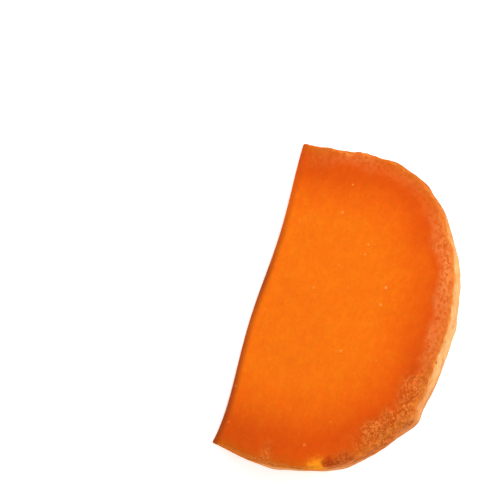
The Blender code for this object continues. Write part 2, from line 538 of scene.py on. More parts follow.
bm = bmesh.new()
bm.from_mesh(mesh)
bmesh.ops.recalc_face_normals(bm, faces=bm.faces)
bm.to_mesh(mesh)
bm.free()
mesh.shade_smooth()
wedge = add_object("mimolette_wedge", mesh)
print("the wedge is", [round(1000 * side, 1) for side in wedge.dimensions], "mm")

# %% [markdown]
# ## Small helpers for node trees
#
# Shader trees and geometry trees are built alike: add a node, set its plain values, link the
# rest. One helper does that for any node. The others are the few steps that come back all the
# time: a sum, a product, a fade, a mix of two colours, a noise and a pattern of cells.


# %% Nodes in one line
def socket_named(sockets, name):
    """The socket with this name that the node's settings leave in use."""
    return next(socket for socket in sockets if socket.name == name and socket.enabled)


def fill(tree, socket, value):
    """Links a socket to another, or gives it a plain value."""
    if isinstance(value, bpy.types.NodeSocket):
        tree.links.new(value, socket)
    else:
        socket.default_value = value


def node(tree, kind, inputs=None, output=None, **settings):
    """Adds a node and returns the output that was asked for, or else the node."""
    made = tree.nodes.new(kind)
    for name, value in settings.items():
        setattr(made, name, value)
    for name, value in (inputs or {}).items():
        fill(tree, socket_named(made.inputs, name), value)
    return socket_named(made.outputs, output) if output else made


# %% Sums, products and scaled vectors
def calc(tree, operation, *values):
    """A Math node's result."""
    made = tree.nodes.new("ShaderNodeMath")
    made.operation = operation
    for socket, value in zip(made.inputs, values):
        fill(tree, socket, value)
    return made.outputs[0]


def product(tree, *values):
    """Some values multiplied together."""
    result = values[0]
    for value in values[1:]:
        result = calc(tree, "MULTIPLY", result, value)
    return result


def swing(tree, value, amount):
    """A value between 0 and 1, such as a noise, as a swing to both sides of nothing."""
    return product(tree, calc(tree, "SUBTRACT", value, 0.5), amount)


def vector_calc(tree, operation, *values):
    """A Vector Math node's result."""
    made = tree.nodes.new("ShaderNodeVectorMath")
    made.operation = operation
    for socket, value in zip(made.inputs, values):
        fill(tree, socket, value)
    return made.outputs["Vector"]


def scaled(tree, vector, scale):
    """A vector or colour times a number."""
    inputs = {"Vector": vector, "Scale": scale}
    return node(tree, "ShaderNodeVectorMath", inputs, "Vector", operation="SCALE")


def lengthwise(tree, place):
    """How far a place lies along the thin front edge, from the wedge's middle to the right."""
    return node(tree, "ShaderNodeSeparateXYZ", {"Vector": place}, "X")


# %% Fades, noise and cells at a real size
def falls(tree, value, start, end):
    """1 up to the start, falling smoothly to 0 at the end."""
    ends = {"Value": value, "From Min": start, "From Max": end, "To Min": 1.0, "To Max": 0.0}
    return node(tree, "ShaderNodeMapRange", ends, "Result", interpolation_type="SMOOTHSTEP")


def rises(tree, value, start, end):
    """0 up to the start, rising smoothly to 1 at the end."""
    ends = {"Value": value, "From Min": start, "From Max": end}
    return node(tree, "ShaderNodeMapRange", ends, "Result", interpolation_type="SMOOTHSTEP")


def noise(tree, place, size, detail=3.0, roughness=0.5, seed=0.0):
    """Cloudy noise, mostly between 0.3 and 0.7, with patches of about the given size."""
    inputs = {"Vector": place, "W": seed, "Scale": 1 / size}
    inputs.update({"Detail": detail, "Roughness": roughness})
    return node(tree, "ShaderNodeTexNoise", inputs, "Fac", noise_dimensions="4D")


def patchy(tree, place, start, end, **grain):
    """1 in the patches where a noise is past the end, 0 where it is below the start."""
    return rises(tree, noise(tree, place, **grain), start, end)


def cells(tree, place, size, seed=0.0):
    """Scattered spots about one size apart: the distance to the nearest, and its own number."""
    inputs = {"Vector": place, "W": seed, "Scale": 1 / size}
    made = node(tree, "ShaderNodeTexVoronoi", inputs, voronoi_dimensions="4D")
    own = node(tree, "ShaderNodeSeparateColor", {"Color": made.outputs["Color"]})
    return product(tree, made.outputs["Distance"], size), own.outputs["Red"]


# %% Colours
def paint(red, green, blue):
    """A colour given in the 0 to 255 steps of a screen, as the linear values shaders use."""
    steps = [value / 255 for value in (red, green, blue)]
    linear = [s / 12.92 if s <= 0.04045 else ((s + 0.055) / 1.055) ** 2.4 for s in steps]
    return (*linear, 1.0)


def mix(tree, share, first, second):
    """The first colour where the share is 0, the second where it is 1."""
    made = tree.nodes.new("ShaderNodeMix")
    made.data_type = "RGBA"
    fill(tree, made.inputs["Factor"], share)
    fill(tree, socket_named(made.inputs, "A"), first)
    fill(tree, socket_named(made.inputs, "B"), second)
    return socket_named(made.outputs, "Result")


print("mid grey on a screen is", round(paint(128, 128, 128)[0], 3), "to a shader")

# %% [markdown]
# ## The orange paste
#
# Aged mimolette is a firm, slightly waxy paste. Light goes a few millimetres into it before it
# comes back out, which needs subsurface scattering. Its orange is bright in the middle, turns
# red and dull where it dries towards the rind, and has a mottled bloom of dried grains beside
# it. Pale crystals and a few pin holes are strewn through it, and the knife left faint streaks
# along the cut. A painted texture would look right from one side only. Colours that follow the
# distance attributes fit the whole form.

# %% A new material
def attribute(tree, name):
    """A number that the mesh carries."""
    return node(tree, "ShaderNodeAttribute", None, "Fac", attribute_name=name)


def new_material(name):
    """An empty material with its tree, its shader and the place on the object."""
    material = bpy.data.materials.new(name)
    material.use_nodes = True
    tree = material.node_tree
    place = node(tree, "ShaderNodeTexCoord", None, "Object")
    return material, tree, tree.nodes["Principled BSDF"], place


def dress(tree, shader, finish):
    """Sets or links the shader's inputs by their names."""
    for name, value in finish.items():
        fill(tree, shader.inputs[name], value)


def bumpy(tree, height, strength, distance):
    """A surface direction that leans with a height."""
    inputs = {"Height": height, "Strength": strength, "Distance": distance}
    return node(tree, "ShaderNodeBump", inputs, "Normal")


# %% Colours of the paste, from the rind inwards
PASTE_STEPS = (
    (0.000, paint(222, 84, 5)),
    (0.007, paint(221, 82, 3)),
    (0.010, paint(222, 84, 3)),
    (0.014, paint(228, 92, 4)),
    (0.020, paint(235, 101, 5)),
    (0.028, paint(240, 109, 6)),
    (0.036, paint(243, 116, 8)),
)
BLOOM_PINK = paint(240, 140, 70)
BLOOM_DULL = paint(210, 90, 24)
CRUMBLED_GOLD = paint(244, 140, 56)
CRUMBLED_BROWN = paint(172, 68, 10)
PASTE_GOLD = paint(214, 118, 38)
# Brown of the thin front edge, partly dried paste and partly painted shade
PASTE_EDGE_DRY_AND_SHADE = paint(150, 62, 14)
PASTE_FRESH = paint(254, 154, 28)
# Painted shade for holes and hollows
PAINTED_HOLLOW_SHADE = paint(184, 58, 6)
PASTE_TORN = paint(216, 102, 34)
CLOUD_TINT = (0.02, 0.15, 0.12)
# Painted shade for the corner where the thin edge meets the right end
CORNER_SHADE_TINT = (-0.12, -0.08, 0.0)
MARGIN_TINT = (-0.11, 0.27, 0.36)
CRYSTAL = paint(254, 168, 84)
print("the paste changes colour over", round(1000 * PASTE_STEPS[-1][0]), "mm")


# %% Colours that change over a distance, a noise or a mask
def colour_steps(tree, distance, steps):
    """A smooth run of colours over a distance, given as (distance, colour) pairs."""
    reach = steps[-1][0]
    made = node(tree, "ShaderNodeValToRGB", {"Fac": calc(tree, "DIVIDE", distance, reach)})
    ramp = made.color_ramp
    ramp.interpolation = "B_SPLINE"
    for _ in range(len(steps) - len(ramp.elements)):
        ramp.elements.new(0.5)
    for element, (position, colour) in zip(ramp.elements, steps):
        element.position = position / reach
        element.color = colour
    return made.outputs["Color"]


def shaded(tree, colour, value, amount):
    """The colour made up to half the amount darker or lighter as the value goes from 0 to 1."""
    return scaled(tree, colour, calc(tree, "ADD", swing(tree, value, amount), 1.0))


def tinted(tree, colour, share, tint):
    """The colour made lighter by the tint, one part for each of red, green and blue."""
    return vector_calc(tree, "MULTIPLY_ADD", colour, scaled(tree, tint, share), colour)


def drawn_out(tree, place, length):
    """The place squeezed along the front edge, so that a noise on it becomes knife streaks."""
    return vector_calc(tree, "MULTIPLY", place, (1 / length, 1.0, 1.0))


# %% The paste without its spots and margin
PASTE_CLOUDS = {"size": 0.030, "detail": 4.0}
LIGHT_PATCHES = {
    "size": 0.0050, "start": 0.44, "end": 0.68, "detail": 4.0, "roughness": 0.6, "seed": 3.0
}
KNIFE_STREAKS = {"size": 0.0022, "detail": 3.0, "seed": 20.0}
KNIFE_STRETCH = 5.0
PASTE_GRAIN = {"size": 0.0015, "detail": 4.0, "roughness": 0.7, "seed": 4.0}
RIGHT_END_FADE = (-0.010, 0.075)
LEFT_END_FADE = (-0.075, -0.035)
END_NARROWING = 0.28
DEPTH_SWING = 0.012
CORNER_SHADE_FADE = (0.045, 0.085)
CORNER_SHADE_NOSE_FADE = (0.005, 0.045)
MARGIN_FADE = (0.0010, 0.0065)
KNIFE_SHADE = 0.10
GRAIN_SHADE = 0.34


def paste_colour(tree, place, from_rim):
    """Paste colour, redder and duller towards the rind and the ball's ends; painted shade in a
    corner.
    """
    x = lengthwise(tree, place)
    ends = calc(tree, "ADD", rises(tree, x, *RIGHT_END_FADE), falls(tree, x, *LEFT_END_FADE))
    narrowed = calc(tree, "SUBTRACT", 1.0, product(tree, ends, END_NARROWING))
    cloud = noise(tree, place, **PASTE_CLOUDS)
    uneven = swing(tree, cloud, DEPTH_SWING)
    depth = calc(tree, "ADD", product(tree, from_rim, narrowed), uneven)
    colour = colour_steps(tree, depth, PASTE_STEPS)
    colour = tinted(tree, colour, patchy(tree, place, **LIGHT_PATCHES), CLOUD_TINT)
    # Painted shade: darker where the thin edge meets the ball's right end, away from the key light
    by_the_nose = falls(tree, attribute(tree, "from_nose"), *CORNER_SHADE_NOSE_FADE)
    corner_shade = product(tree, rises(tree, x, *CORNER_SHADE_FADE), by_the_nose)
    colour = tinted(tree, colour, corner_shade, CORNER_SHADE_TINT)
    colour = tinted(tree, colour, falls(tree, from_rim, *MARGIN_FADE), MARGIN_TINT)
    knife = noise(tree, drawn_out(tree, place, KNIFE_STRETCH), **KNIFE_STREAKS)
    colour = shaded(tree, colour, knife, KNIFE_SHADE)
    return shaded(tree, colour, noise(tree, place, **PASTE_GRAIN), GRAIN_SHADE)


print("knife streaks are", 1000 * KNIFE_STREAKS["size"], "mm wide,", KNIFE_STRETCH, "times as long")

# %% Crystals and pin holes
CRYSTAL_SPACING = 0.0044
CRYSTAL_RADIUS = 0.0009
CRYSTAL_RARITY = 1.9
PIN_HOLE_SPACING = 0.0110
PIN_HOLE_RADIUS = 0.0007
PIN_HOLE_RARITY = 3.0
SPOT_FADE = (-0.0002, 0.0003)
INNER_FADE = (0.008, 0.016)


def spots(tree, place, spacing, radius, seed, rarity):
    """1 inside scattered round spots, none wider than the radius and most of them tiny."""
    distance, own = cells(tree, place, spacing, seed=seed)
    size = product(tree, calc(tree, "POWER", own, rarity), radius)
    return falls(tree, calc(tree, "SUBTRACT", distance, size), *SPOT_FADE)


def speckled(tree, place, colour):
    """Pale crystals, and pin holes darkened with painted shade. Returns the colour and both masks.
    """
    crystal = spots(tree, place, CRYSTAL_SPACING, CRYSTAL_RADIUS, 1.0, CRYSTAL_RARITY)
    crystal = product(tree, crystal, rises(tree, attribute(tree, "from_rim"), *INNER_FADE))
    colour = mix(tree, product(tree, crystal, 0.70), colour, CRYSTAL)
    hole = spots(tree, place, PIN_HOLE_SPACING, PIN_HOLE_RADIUS, 2.0, PIN_HOLE_RARITY)
    # Painted shade darkens the pin holes
    return mix(tree, product(tree, hole, 0.5), colour, PAINTED_HOLLOW_SHADE), crystal, hole


print("crystals lie about", 1000 * CRYSTAL_SPACING, "mm apart")

# %% Bloom beside the rind
MARGIN_START = 0.0052
BLOOM_END = 0.0102
MARGIN_WOBBLE = {"size": 0.009, "detail": 4.0}
MARGIN_SWING = 0.012
DULL_PATCHES = {
    "size": 0.0040, "start": 0.34, "end": 0.58, "detail": 5.0, "roughness": 0.7, "seed": 6.0
}
DUST_GRAINS = {
    "size": 0.0018, "start": 0.37, "end": 0.56, "detail": 4.0, "roughness": 0.75, "seed": 7.0
}
DUST_PATCHES = {"size": 0.0060, "start": 0.22, "end": 0.46, "detail": 4.0, "seed": 8.0}


def margin_band(tree, place, from_rim, end, seed):
    """1 beside the rind, ending in a wavering line some millimetres in."""
    wobble = swing(tree, noise(tree, place, seed=seed, **MARGIN_WOBBLE), MARGIN_SWING)
    return falls(tree, calc(tree, "ADD", from_rim, wobble), MARGIN_START, end)


def with_bloom(tree, place, colour, from_rim):
    """Pinkish dust on dull paste, where the margin bloomed."""
    band = margin_band(tree, place, from_rim, BLOOM_END, 5.0)
    where = product(tree, band, attribute(tree, "bloomed"))
    dull = patchy(tree, place, **DULL_PATCHES)
    colour = mix(tree, product(tree, where, dull, 0.7), colour, BLOOM_DULL)
    dust = patchy(tree, place, **DUST_GRAINS)
    thick = patchy(tree, place, **DUST_PATCHES)
    return mix(tree, product(tree, where, dust, thick), colour, BLOOM_PINK)


print("bloom reaches about", round(1000 * BLOOM_END), "mm in from the rind")

# %% Crumbled paste beside the rind
CRUMBLED_END = 0.0150
BROWN_PATCHES = {
    "size": 0.0040, "start": 0.30, "end": 0.54, "detail": 5.0, "roughness": 0.7, "seed": 10.0
}
GOLD_GRAINS = {
    "size": 0.0013, "start": 0.42, "end": 0.60, "detail": 4.0, "roughness": 0.75, "seed": 15.0
}
GOLD_PATCHES = {"size": 0.0060, "start": 0.32, "end": 0.50, "detail": 3.0, "seed": 17.0}
GOLD_EDGE_FADE = (0.0003, 0.0020)
GOLD_EDGE_SWING = 0.001


def with_crumble(tree, place, colour, from_rim):
    """Golden and brown grains, where the margin crumbled."""
    band = margin_band(tree, place, from_rim, CRUMBLED_END, 9.0)
    where = product(tree, band, attribute(tree, "crumbled"))
    brown = patchy(tree, place, **BROWN_PATCHES)
    colour = mix(tree, product(tree, where, brown, 0.70), colour, CRUMBLED_BROWN)
    gold = patchy(tree, place, **GOLD_GRAINS)
    lumps = patchy(tree, place, **GOLD_PATCHES)
    colour = mix(tree, product(tree, where, gold, lumps, 0.9), colour, CRUMBLED_GOLD)
    frayed = calc(tree, "ADD", from_rim, swing(tree, gold, GOLD_EDGE_SWING))
    edge = falls(tree, frayed, *GOLD_EDGE_FADE)
    return mix(tree, product(tree, edge, 0.75), colour, PASTE_GOLD)


print("crumbled paste reaches about", round(1000 * CRUMBLED_END), "mm in from the rind")

# %% Broken edges
RAGGED_EDGE = {"size": 0.0022, "detail": 4.0, "roughness": 0.7, "seed": 22.0}
TORN_GRAINS = {
    "size": 0.0016, "start": 0.42, "end": 0.60, "detail": 4.0, "roughness": 0.7, "seed": 24.0
}
RAGGED_SWING = 1.8
RAGGED_START = 0.20
DRY_AND_SHADE_CLOUDS = {"size": 0.020, "seed": 16.0}
DRY_AND_SHADE_TIP_FADE = (-0.062, -0.012)
DRY_AND_SHADE_EDGE_FADE = (0.0003, 0.0044)


def ragged_patch(tree, place, name, full=0.85):
    """A soft patch that the mesh carries, made ragged, and solid where it is at its full."""
    uneven = swing(tree, noise(tree, place, **RAGGED_EDGE), RAGGED_SWING)
    return rises(tree, calc(tree, "ADD", attribute(tree, name), uneven), RAGGED_START, full)


def with_breaks(tree, place, colour):
    """Golden chipped edges, a torn brown place, a hollow in painted shadow and a fresh bright
    break.
    """
    colour = mix(tree, product(tree, attribute(tree, "broken"), 0.5), colour, PASTE_GOLD)
    crumbly = mix(tree, patchy(tree, place, **TORN_GRAINS), CRUMBLED_BROWN, PASTE_TORN)
    colour = mix(tree, product(tree, ragged_patch(tree, place, "torn"), 0.8), colour, crumbly)
    glow = product(tree, attribute(tree, "fresh"), 0.35)
    fresh = calc(tree, "ADD", glow, ragged_patch(tree, place, "fresh"))
    colour = mix(tree, product(tree, fresh, 0.75), colour, PASTE_FRESH)
    # Painted shadow fills the hollow of the notch
    hollow = ragged_patch(tree, place, "notch", full=0.75)
    return mix(tree, product(tree, hollow, 0.9), colour, PAINTED_HOLLOW_SHADE)


def with_dry_and_shaded_edge(tree, place, colour):
    """The thin front edge, brown where it dried and in painted shade, less so at its left end."""
    dry_and_shade = noise(tree, place, **DRY_AND_SHADE_CLOUDS)
    past_the_tip = rises(tree, lengthwise(tree, place), *DRY_AND_SHADE_TIP_FADE)
    past_the_tip = calc(tree, "ADD", product(tree, past_the_tip, 0.6), 0.4)
    dry_and_shade = product(tree, calc(tree, "ADD", product(tree, dry_and_shade, 0.6), 0.50), past_the_tip)
    # Brown along the thin front edge: partly dried paste, partly painted shade of its rounded edge
    edge = falls(tree, attribute(tree, "from_nose"), *DRY_AND_SHADE_EDGE_FADE)
    return mix(tree, product(tree, edge, dry_and_shade), colour, PASTE_EDGE_DRY_AND_SHADE)


print("breaks fray in patches of", 1000 * RAGGED_EDGE["size"], "mm")

# %% The whole paste
SCATTER_RADII = (1.0, 0.30, 0.08)
SCATTER_SCALE = 0.0035
PASTE_FINISH = {
    "Specular IOR Level": 0.06,
    "Subsurface Weight": 0.40,
    "Subsurface Radius": SCATTER_RADII,
    "Subsurface Scale": SCATTER_SCALE,
}
PASTE_RELIEF = {"size": 0.0009, "detail": 6.0, "roughness": 0.65}
PASTE_BUMP = {"strength": 0.35, "distance": 0.0002}
DRY_FADE = (0.002, 0.020)


def paste_material():
    """Orange paste with its dry margin, bloom, crystals, holes and broken edges."""
    material, tree, shader, place = new_material("mimolette_paste")
    from_rim = attribute(tree, "from_rim")
    colour = paste_colour(tree, place, from_rim)
    colour, crystal, hole = speckled(tree, place, colour)
    colour = with_bloom(tree, place, colour, from_rim)
    colour = with_crumble(tree, place, colour, from_rim)
    colour = with_dry_and_shaded_edge(tree, place, colour)
    colour = with_breaks(tree, place, colour)
    dryness = falls(tree, from_rim, *DRY_FADE)
    grain = noise(tree, place, **PASTE_RELIEF)
    fine = product(tree, grain, calc(tree, "ADD", product(tree, dryness, 1.6), 0.4))
    sunken = calc(tree, "SUBTRACT", product(tree, hole, 2.0), crystal)
    leaning = bumpy(tree, calc(tree, "SUBTRACT", fine, sunken), **PASTE_BUMP)
    rough = calc(tree, "ADD", product(tree, dryness, 0.16), 0.44)
    rough = calc(tree, "ADD", rough, product(tree, grain, 0.12))
    dress(tree, shader, {"Base Color": colour, "Roughness": rough, "Normal": leaning})
    dress(tree, shader, PASTE_FINISH)
    return material


paste = paste_material()
print("made", paste.name, "with", len(paste.node_tree.nodes), "nodes")

# %% [markdown]
# ## The dry rind
#
# The rind is paste that dried hard in the cellar air, brushed and turned for months. It is a
# pale, floury gold on its high spots and tan in its hollows, with brown pits where cheese mites
# and air worked into it. Near the upper cut, the ball's two ends are a darker gold and brown,
# partly their own colour and partly painted shade where the rind turns edge-on.
# One flat colour with bumps would look like plastic, so clouds of several sizes are laid over
# each other. The pits themselves are shape and come later from Geometry Nodes, which leave
# their depth on the mesh, so the brown always sits where the shape is deep.

# %% Colours of the rind
RIND_GOLD = paint(234, 169, 98)
RIND_PALE = paint(240, 191, 131)
RIND_TAN = paint(222, 136, 66)
RIND_RUST = paint(200, 98, 34)
RIND_BROWN = paint(142, 82, 38)
# The ends near the upper cut: gold, and a brown that is partly painted shade
END_GOLD = paint(228, 116, 34)
END_BROWN_AND_SHADE = paint(166, 76, 16)
DOT_SPACING = 0.0036
DOT_RADIUS = 0.0009
# Painted shade towards the ball's left end
PAINTED_SHADE_TINT = (-0.06, -0.16, -0.22)
AMBER_TINT = (-0.05, -0.22, -0.34)
print("the pits' brown, as shaders take it:", [round(value, 2) for value in RIND_BROWN[:3]])

# %% The ends of the ball, darker gold and in painted shade
BELT_FROM = -0.054
BELT_TO = 0.040
BELT_BLUR = 0.006
BELT_WOBBLE = {"size": 0.008, "detail": 4.0, "seed": 18.0}
BELT_SWING = 0.02
END_RIM_WOBBLE = {"size": 0.010, "detail": 4.0, "seed": 25.0}
END_RIM_SWING = 0.03
END_RIM_FADE = (0.008, 0.026)


def rim_of_the_ends(tree, place):
    """1 near the upper cut on the two ends of the ball, where the rind is darker gold and painted
    shade.
    """
    wobble = swing(tree, noise(tree, place, **BELT_WOBBLE), BELT_SWING)
    x = calc(tree, "ADD", lengthwise(tree, place), wobble)
    left = falls(tree, x, BELT_FROM - BELT_BLUR, BELT_FROM + BELT_BLUR)
    right = rises(tree, x, BELT_TO - BELT_BLUR / 2, BELT_TO + BELT_BLUR / 2)
    wobble = swing(tree, noise(tree, place, **END_RIM_WOBBLE), END_RIM_SWING)
    near = falls(tree, calc(tree, "ADD", attribute(tree, "from_rim"), wobble), *END_RIM_FADE)
    return product(tree, calc(tree, "ADD", left, right), near, attribute(tree, "upper"))


print("the pale belt is", round(1000 * (BELT_TO - BELT_FROM)), "mm wide")

# %% The whole rind
RIND_CLOUDS = {"size": 0.016, "detail": 5.0, "roughness": 0.6, "seed": 11.0}
FLOUR_PATCHES = {
    "size": 0.005, "start": 0.42, "end": 0.64, "detail": 6.0, "roughness": 0.7, "seed": 12.0
}
END_GOLD_AND_SHADE_PATCHES = {
    "size": 0.0030, "start": 0.40, "end": 0.62, "detail": 5.0, "roughness": 0.7, "seed": 19.0
}
STAINS = {"size": 0.030, "start": 0.54, "end": 0.66, "detail": 3.0, "seed": 13.0}
RIND_RELIEF = {"size": 0.0007, "detail": 6.0, "roughness": 0.7, "seed": 14.0}
RIND_BUMP = {"strength": 0.6, "distance": 0.0003}
TAN_FADE = (0.38, 0.60)
TINT_SWING = 0.04
PAINTED_SHADE_FADE = (-0.040, 0.008)
AMBER_FADE = (0.004, 0.032)
NEAR_CUT_FADE = (0.0002, 0.0012)
DOT_RARITY = 2.0
RIND_FINISH = {
    "Specular IOR Level": 0.03,
    "Subsurface Weight": 0.15,
    "Subsurface Radius": SCATTER_RADII,
    "Subsurface Scale": SCATTER_SCALE / 2,
}


def rind_material():
    """Floury golden rind, tan clouds, brown pits; darker gold and painted shade on its ends' rim.
    """
    material, tree, shader, place = new_material("mimolette_rind")
    cloud = noise(tree, place, **RIND_CLOUDS)
    colour = mix(tree, rises(tree, cloud, *TAN_FADE), RIND_GOLD, RIND_TAN)
    flour = patchy(tree, place, **FLOUR_PATCHES)
    colour = mix(tree, product(tree, flour, 0.75), colour, RIND_PALE)
    x = calc(tree, "ADD", lengthwise(tree, place), swing(tree, cloud, TINT_SWING))
    # Painted shade: the rind darkens towards the ball's left end, where the key light falls most
    colour = tinted(tree, colour, falls(tree, x, *PAINTED_SHADE_FADE), PAINTED_SHADE_TINT)
    colour = tinted(tree, colour, rises(tree, x, *AMBER_FADE), AMBER_TINT)
    # Painted shade mixed with the rind's own gold and brown along the ends' rim
    end_gold_and_shade = mix(tree, patchy(tree, place, **END_GOLD_AND_SHADE_PATCHES), END_GOLD, END_BROWN_AND_SHADE)
    colour = mix(tree, rim_of_the_ends(tree, place), colour, end_gold_and_shade)
    stain = patchy(tree, place, **STAINS)
    colour = mix(tree, product(tree, stain, 0.45), colour, RIND_RUST)
    dots = spots(tree, place, DOT_SPACING, DOT_RADIUS, 23.0, DOT_RARITY)
    colour = mix(tree, calc(tree, "MAXIMUM", attribute(tree, "pit"), dots), colour, RIND_BROWN)
    near_cut = falls(tree, attribute(tree, "from_rim"), *NEAR_CUT_FADE)
    colour = mix(tree, product(tree, near_cut, 0.5), colour, PASTE_GOLD)
    colour = with_breaks(tree, place, colour)
    leaning = bumpy(tree, noise(tree, place, **RIND_RELIEF), **RIND_BUMP)
    rough = calc(tree, "ADD", product(tree, flour, 0.15), 0.72)
    dress(tree, shader, {"Base Color": colour, "Roughness": rough, "Normal": leaning})
    dress(tree, shader, RIND_FINISH)
    return material


rind = rind_material()
print("made", rind.name, "with", len(rind.node_tree.nodes), "nodes")

# %% [markdown]
# ## Pits and grain as real relief
#
# Close up, the rind is a field of small craters and pores, and the drying paste beside it is
# rough and shrunken. Sculpting thousands of pits by hand is hopeless, and bump shading vanishes
# at the outline. A geometry tree moves the vertices themselves: cells scatter the pits, each
# with its own width, and noise gives the grain. The sizes are inputs of the tree.

# %% Sizes of the weathering
WEATHER_SIZES = {
    "Pit Spacing": 0.0080,
    "Pit Depth": 0.0007,
    "Pore Spacing": 0.0030,
    "Pore Depth": 0.0004,
    "Grain Size": 0.0030,
    "Grain Height": 0.0005,
    "Dry Width": 0.0110,
    "Dry Height": 0.0003,
    "Crumbled Height": 0.0006,
    "Seed": 7.0,
}
print("the deepest pits are", 1000 * WEATHER_SIZES["Pit Depth"], "mm deep")


# %% Steps of a geometry tree
def new_geometry_tree(name, sizes):
    """A geometry tree with one named input for each size, and its input node."""
    tree = bpy.data.node_groups.new(name, "GeometryNodeTree")
    for way in ("INPUT", "OUTPUT"):
        tree.interface.new_socket("Geometry", in_out=way, socket_type="NodeSocketGeometry")
    for label, value in sizes.items():
        socket = tree.interface.new_socket(label, in_out="INPUT", socket_type="NodeSocketFloat")
        socket.default_value = value
    return tree, tree.nodes.new("NodeGroupInput").outputs


def carried(tree, name, kind="FLOAT"):
    """A named attribute inside a geometry tree."""
    inputs = {"Name": name}
    return node(tree, "GeometryNodeInputNamedAttribute", inputs, "Attribute", data_type=kind)


def step(tree, kind, **inputs):
    """A node that takes a geometry on. Returns the geometry."""
    return node(tree, kind, inputs, "Geometry")


def sized_cells(tree, place, spacing, seed):
    """The distance to the nearest of some scattered spots, and its own random number."""
    inputs = {"Vector": place, "W": seed, "Scale": calc(tree, "DIVIDE", 1.0, spacing)}
    made = node(tree, "ShaderNodeTexVoronoi", inputs, voronoi_dimensions="4D")
    own = node(tree, "FunctionNodeSeparateColor", {"Color": made.outputs["Color"]})
    return made.outputs["Distance"], own.outputs["Red"]


def dimples(tree, place, spacing, seed, widest):
    """0 between the dimples and 1 at their middles. Each is of its own width."""
    distance, own = sized_cells(tree, place, spacing, seed)
    width = calc(tree, "ADD", product(tree, calc(tree, "POWER", own, 2.0), widest), 0.05)
    return falls(tree, calc(tree, "DIVIDE", distance, width), 0.15, 1.0)


def sized_noise(tree, place, size, seed):
    """Noise between about -0.5 and 0.5."""
    inputs = {"Vector": place, "W": seed, "Scale": calc(tree, "DIVIDE", 1.0, size), "Detail": 3.0}
    value = node(tree, "ShaderNodeTexNoise", inputs, "Fac", noise_dimensions="4D")
    return calc(tree, "SUBTRACT", value, 0.5)


# %% The weathering tree
WIDEST_PIT = 0.32
WIDEST_PORE = 0.60
PORE_BROWN = 0.45
INLAND_FADE = (0.0008, 0.0030)
DRY_GRAIN_SHARE = 0.8


def weathering_tree():
    """Pits and pores in the rind, grain on it, and rough dry paste beside it."""
    tree, given = new_geometry_tree("weathering", WEATHER_SIZES)
    place = node(tree, "GeometryNodeInputPosition", None, "Position")
    seed = given["Seed"]
    crust, from_rim = carried(tree, "crust"), carried(tree, "from_rim")
    pits = dimples(tree, place, given["Pit Spacing"], seed, WIDEST_PIT)
    pore_seed = calc(tree, "ADD", seed, 5.0)
    pores = dimples(tree, place, given["Pore Spacing"], pore_seed, WIDEST_PORE)
    inland = rises(tree, from_rim, *INLAND_FADE)
    pits = product(tree, pits, inland)
    sunk = product(tree, pits, given["Pit Depth"])
    sunk = calc(tree, "ADD", sunk, product(tree, pores, given["Pore Depth"]))
    grain = sized_noise(tree, place, given["Grain Size"], seed)
    grain = product(tree, grain, given["Grain Height"])
    rind_move = product(tree, calc(tree, "SUBTRACT", grain, sunk), crust)
    dry = falls(tree, from_rim, 0.0, given["Dry Width"])
    dry_size = product(tree, given["Grain Size"], DRY_GRAIN_SHARE)
    dry_noise = sized_noise(tree, place, dry_size, calc(tree, "ADD", seed, 9.0))
    rough_height = product(tree, carried(tree, "crumbled"), given["Crumbled Height"])
    rough_height = calc(tree, "ADD", rough_height, given["Dry Height"])
    dry_move = product(tree, dry_noise, rough_height, dry, carried(tree, "upper"))
    move = calc(tree, "ADD", rind_move, dry_move)
    offset = scaled(tree, node(tree, "GeometryNodeInputNormal", None, "Normal"), move)
    brown = product(tree, calc(tree, "MAXIMUM", pits, product(tree, pores, PORE_BROWN)), crust)
    stored = node(
        tree,
        "GeometryNodeStoreNamedAttribute",
        {"Geometry": given["Geometry"], "Name": "pit", "Value": brown},
        "Geometry",
        data_type="FLOAT",
        domain="POINT",
    )
    moved = step(tree, "GeometryNodeSetPosition", Geometry=stored, Offset=offset)
    real = step(tree, "GeometryNodeRealizeInstances", Geometry=moved)
    orange = step(tree, "GeometryNodeSetMaterial", Geometry=real, Material=paste)
    outside = {"Selection": carried(tree, "rind_face", "BOOLEAN"), "Material": rind}
    dressed = step(tree, "GeometryNodeSetMaterial", Geometry=orange, **outside)
    node(tree, "NodeGroupOutput", {"Geometry": dressed})
    return tree


weathering = weathering_tree()
print("the weathering tree has", len(weathering.nodes), "nodes")


# %% From the tree to a plain mesh
def made_real(obj, tree, sizes, name):
    """The plain mesh that a tree makes of an object, with the tree's inputs set by their names."""
    modifier = obj.modifiers.new(tree.name, "NODES")
    modifier.node_group = tree
    for socket in tree.interface.items_tree:
        if socket.in_out == "INPUT" and socket.name in sizes:
            modifier[socket.identifier] = sizes[socket.name]
    depsgraph = bpy.context.evaluated_depsgraph_get()
    result = bpy.data.meshes.new_from_object(obj.evaluated_get(depsgraph))
    obj.modifiers.remove(modifier)
    result.name = name
    return result


wedge.data = made_real(wedge, weathering, WEATHER_SIZES, "mimolette_wedge")
wedge.data.shade_smooth()
triangles = sum(len(face.vertices) - 2 for face in wedge.data.polygons)
print("the weathered wedge has", triangles, "triangles")

# %% [markdown]
# ## Crumbs along the cut
#
# The knife leaves a trail of golden crumbs where it tears through the dry rind. They are far
# too many to place, and they must sit on the rim wherever it runs. The tree scatters points
# over the faces near the rim, puts a small lump at each, turns and sizes it at random, and
# dents the lumps with noise, so that no two are alike. Each lump has only 20 faces.

# %% The crumbs' material
CRUMB_TONES = {"size": 0.0020, "start": 0.42, "end": 0.60, "detail": 2.0, "seed": 21.0}
CRUMB_FINISH = {
    "Roughness": 0.7,
    "Specular IOR Level": 0.2,
    "Subsurface Weight": 0.3,
    "Subsurface Radius": SCATTER_RADII,
    "Subsurface Scale": SCATTER_SCALE / 4,
}


